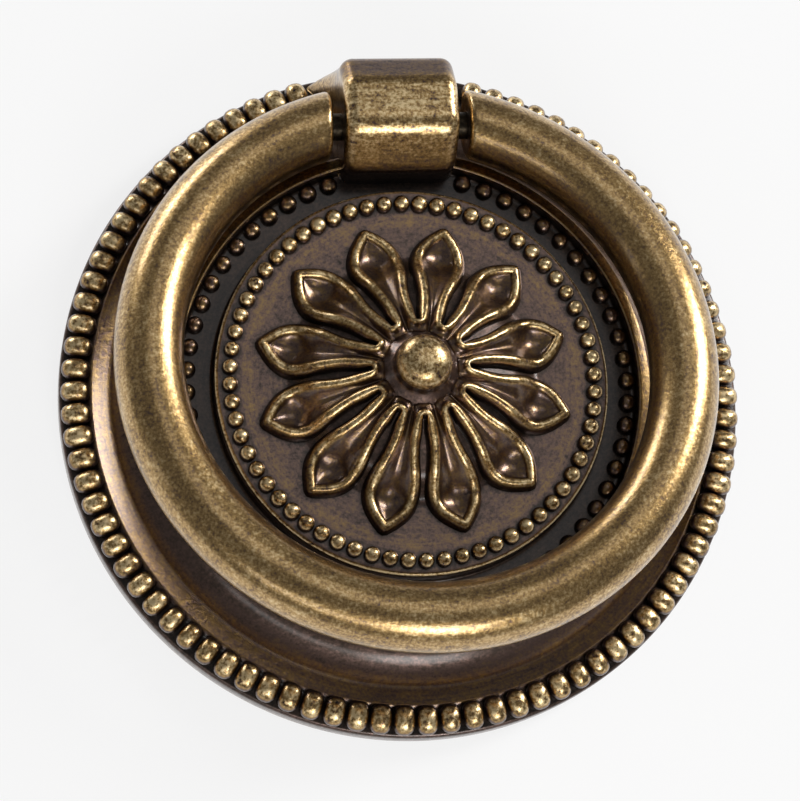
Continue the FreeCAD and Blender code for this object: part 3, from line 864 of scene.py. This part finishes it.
def dark_pin(name):
    """Dark pin metal, darkened further as painted shade in the gap between the ring's ends and the knuckle,
    with a fine grain.
    """
    sh = Shader(name)
    place = sh.node("ShaderNodeTexCoord").outputs["Object"]
    grain = sh.noise(place, scale=2400, detail=4.0, rough=0.6)
    colour = sh.ramp(grain, [(0.3, (0.012, 0.010, 0.008)), (0.7, (0.05, 0.038, 0.024))])
    rough = sh.ramp(grain, [(0.3, (0.5,)), (0.7, (0.36,))])
    sh.link(colour, sh.principled.inputs["Base Color"])
    sh.link(rough, sh.principled.inputs["Roughness"])
    sh.principled.inputs["Metallic"].default_value = 1.0
    sh.link(sh.bump(grain, strength=0.3, distance=0.00005), sh.principled.inputs["Normal"])
    return sh.material


# Studio
FLOOR_SIZE = 12.0
FLOOR_HEIGHT = -0.00003
FLOOR_GLOW = 0.80
WORLD_GREY = 0.17
LIGHT_DISTANCE = 0.55
# Soft boxes: direction from the part in the camera's axes (right, up, towards the camera), size, watts
SOFT_BOXES = {
    "light_right": ((0.80, 0.51, 0.29), (0.13, 0.29), 1.9),
    "light_front": ((0.29, -0.59, 0.75), (0.19, 0.19), 0.8),
    "light_low": ((-0.10, -0.60, 0.79), (0.55, 0.09), 0.42),
    "light_far": ((-0.52, 0.80, 0.02), (0.26, 0.14), 0.8),
    "light_over": ((0.24, 0.55, 0.80), (0.30, 0.27), 0.16),
    "light_left": ((-0.91, -0.05, 0.41), (0.08, 0.20), 0.04),
}


def pale_floor(name):
    """Plain pale studio floor."""
    sh = Shader(name)
    place = sh.node("ShaderNodeTexCoord").outputs["Object"]
    cloud = sh.noise(place, scale=3.0, detail=2.0, rough=0.5)
    colour = sh.ramp(cloud, [(0.3, (0.17, 0.17, 0.17)), (0.7, (0.19, 0.19, 0.19))])
    sh.link(colour, sh.principled.inputs["Base Color"])
    sh.principled.inputs["Roughness"].default_value = 0.9
    sh.principled.inputs["Specular IOR Level"].default_value = 0.1
    sh.principled.inputs["Emission Color"].default_value = (1, 1, 1, 1)
    sh.principled.inputs["Emission Strength"].default_value = FLOOR_GLOW
    return sh.material


def camera_axes():
    """The camera's right, up and back directions in the frame of the part."""
    back = CAMERA_BACK.normalized()
    right = CAMERA_UP.cross(back).normalized()
    return right, back.cross(right), back


def add_camera():
    """Camera at the photograph's angle and distance."""
    right, up, back = camera_axes()
    data = bpy.data.cameras.new("camera")
    data.sensor_fit = "AUTO"
    data.sensor_width = SENSOR
    long_side = max(IMAGE_WIDTH, IMAGE_HEIGHT)
    data.lens = FOCAL_PIXELS * SENSOR / long_side
    data.shift_x = (IMAGE_WIDTH / 2 - ORIGIN_PIXEL[0]) / long_side
    data.shift_y = (ORIGIN_PIXEL[1] - IMAGE_HEIGHT / 2) / long_side
    data.clip_start = 0.01
    data.clip_end = 20.0
    camera = bpy.data.objects.new("camera", data)
    axes = Matrix((right, up, back)).transposed().to_4x4()
    camera.matrix_world = Matrix.Translation(back * CAMERA_DISTANCE * MM) @ axes
    bpy.context.scene.collection.objects.link(camera)
    bpy.context.scene.camera = camera


def add_studio():
    """Pale floor, even surroundings and soft boxes."""
    mesh = bpy.data.meshes.new("floor")
    h = FLOOR_SIZE / 2
    corners = [(-h, -h, FLOOR_HEIGHT), (h, -h, FLOOR_HEIGHT), (h, h, FLOOR_HEIGHT), (-h, h, FLOOR_HEIGHT)]
    mesh.from_pydata(corners, [], [(0, 1, 2, 3)])
    mesh.materials.append(pale_floor("pale_floor"))
    floor = bpy.data.objects.new("floor", mesh)
    bpy.context.scene.collection.objects.link(floor)
    world = bpy.data.worlds.new("studio")
    world.use_nodes = True
    world.node_tree.nodes["Background"].inputs["Color"].default_value = (WORLD_GREY,) * 3 + (1,)
    bpy.context.scene.world = world
    right, up, back = camera_axes()
    for name, (direction, size, strength) in SOFT_BOXES.items():
        data = bpy.data.lights.new(name, "AREA")
        data.shape = "RECTANGLE"
        data.size, data.size_y = size
        data.energy = strength
        light = bpy.data.objects.new(name, data)
        way = (right * direction[0] + up * direction[1] + back * direction[2]).normalized()
        aim = way.to_track_quat("Z", "Y").to_matrix().to_4x4()
        light.matrix_world = Matrix.Translation(way * LIGHT_DISTANCE) @ aim
        bpy.context.scene.collection.objects.link(light)
    bpy.context.scene.view_settings.view_transform = "Standard"


plate_brass = antique_brass(
    "plate_brass_finish", mottle=0.9, patches=0.4, grain=1.2, streak=0.8, lacquer=0.75)
ring_brass = antique_brass(
    "ring_brass_finish", mottle=0.7, patches=0.45, grain=1.1, streak=0.35, lacquer=0.9)
add_plate(plate_brass)
add_beads("plate_outer_beads", OUTER_ROW, plate_brass, WEAR_OUTER_BEADS, OUTER_SKIP)
add_beads("plate_recess_beads", RECESS_ROW, plate_brass, WEAR_RECESS_BEADS, RECESS_SKIP)
add_beads("plate_disc_beads", DISC_ROW, plate_brass, WEAR_DISC_BEADS)
add_petals(plate_brass)
add_knuckle(plate_brass)
add_ring(ring_brass)
pin = frame["nodes"]["pivot_pin"]
pin.data.materials.clear()
pin.data.materials.append(dark_pin("pin_dark_metal_and_shade"))
add_studio()
add_camera()
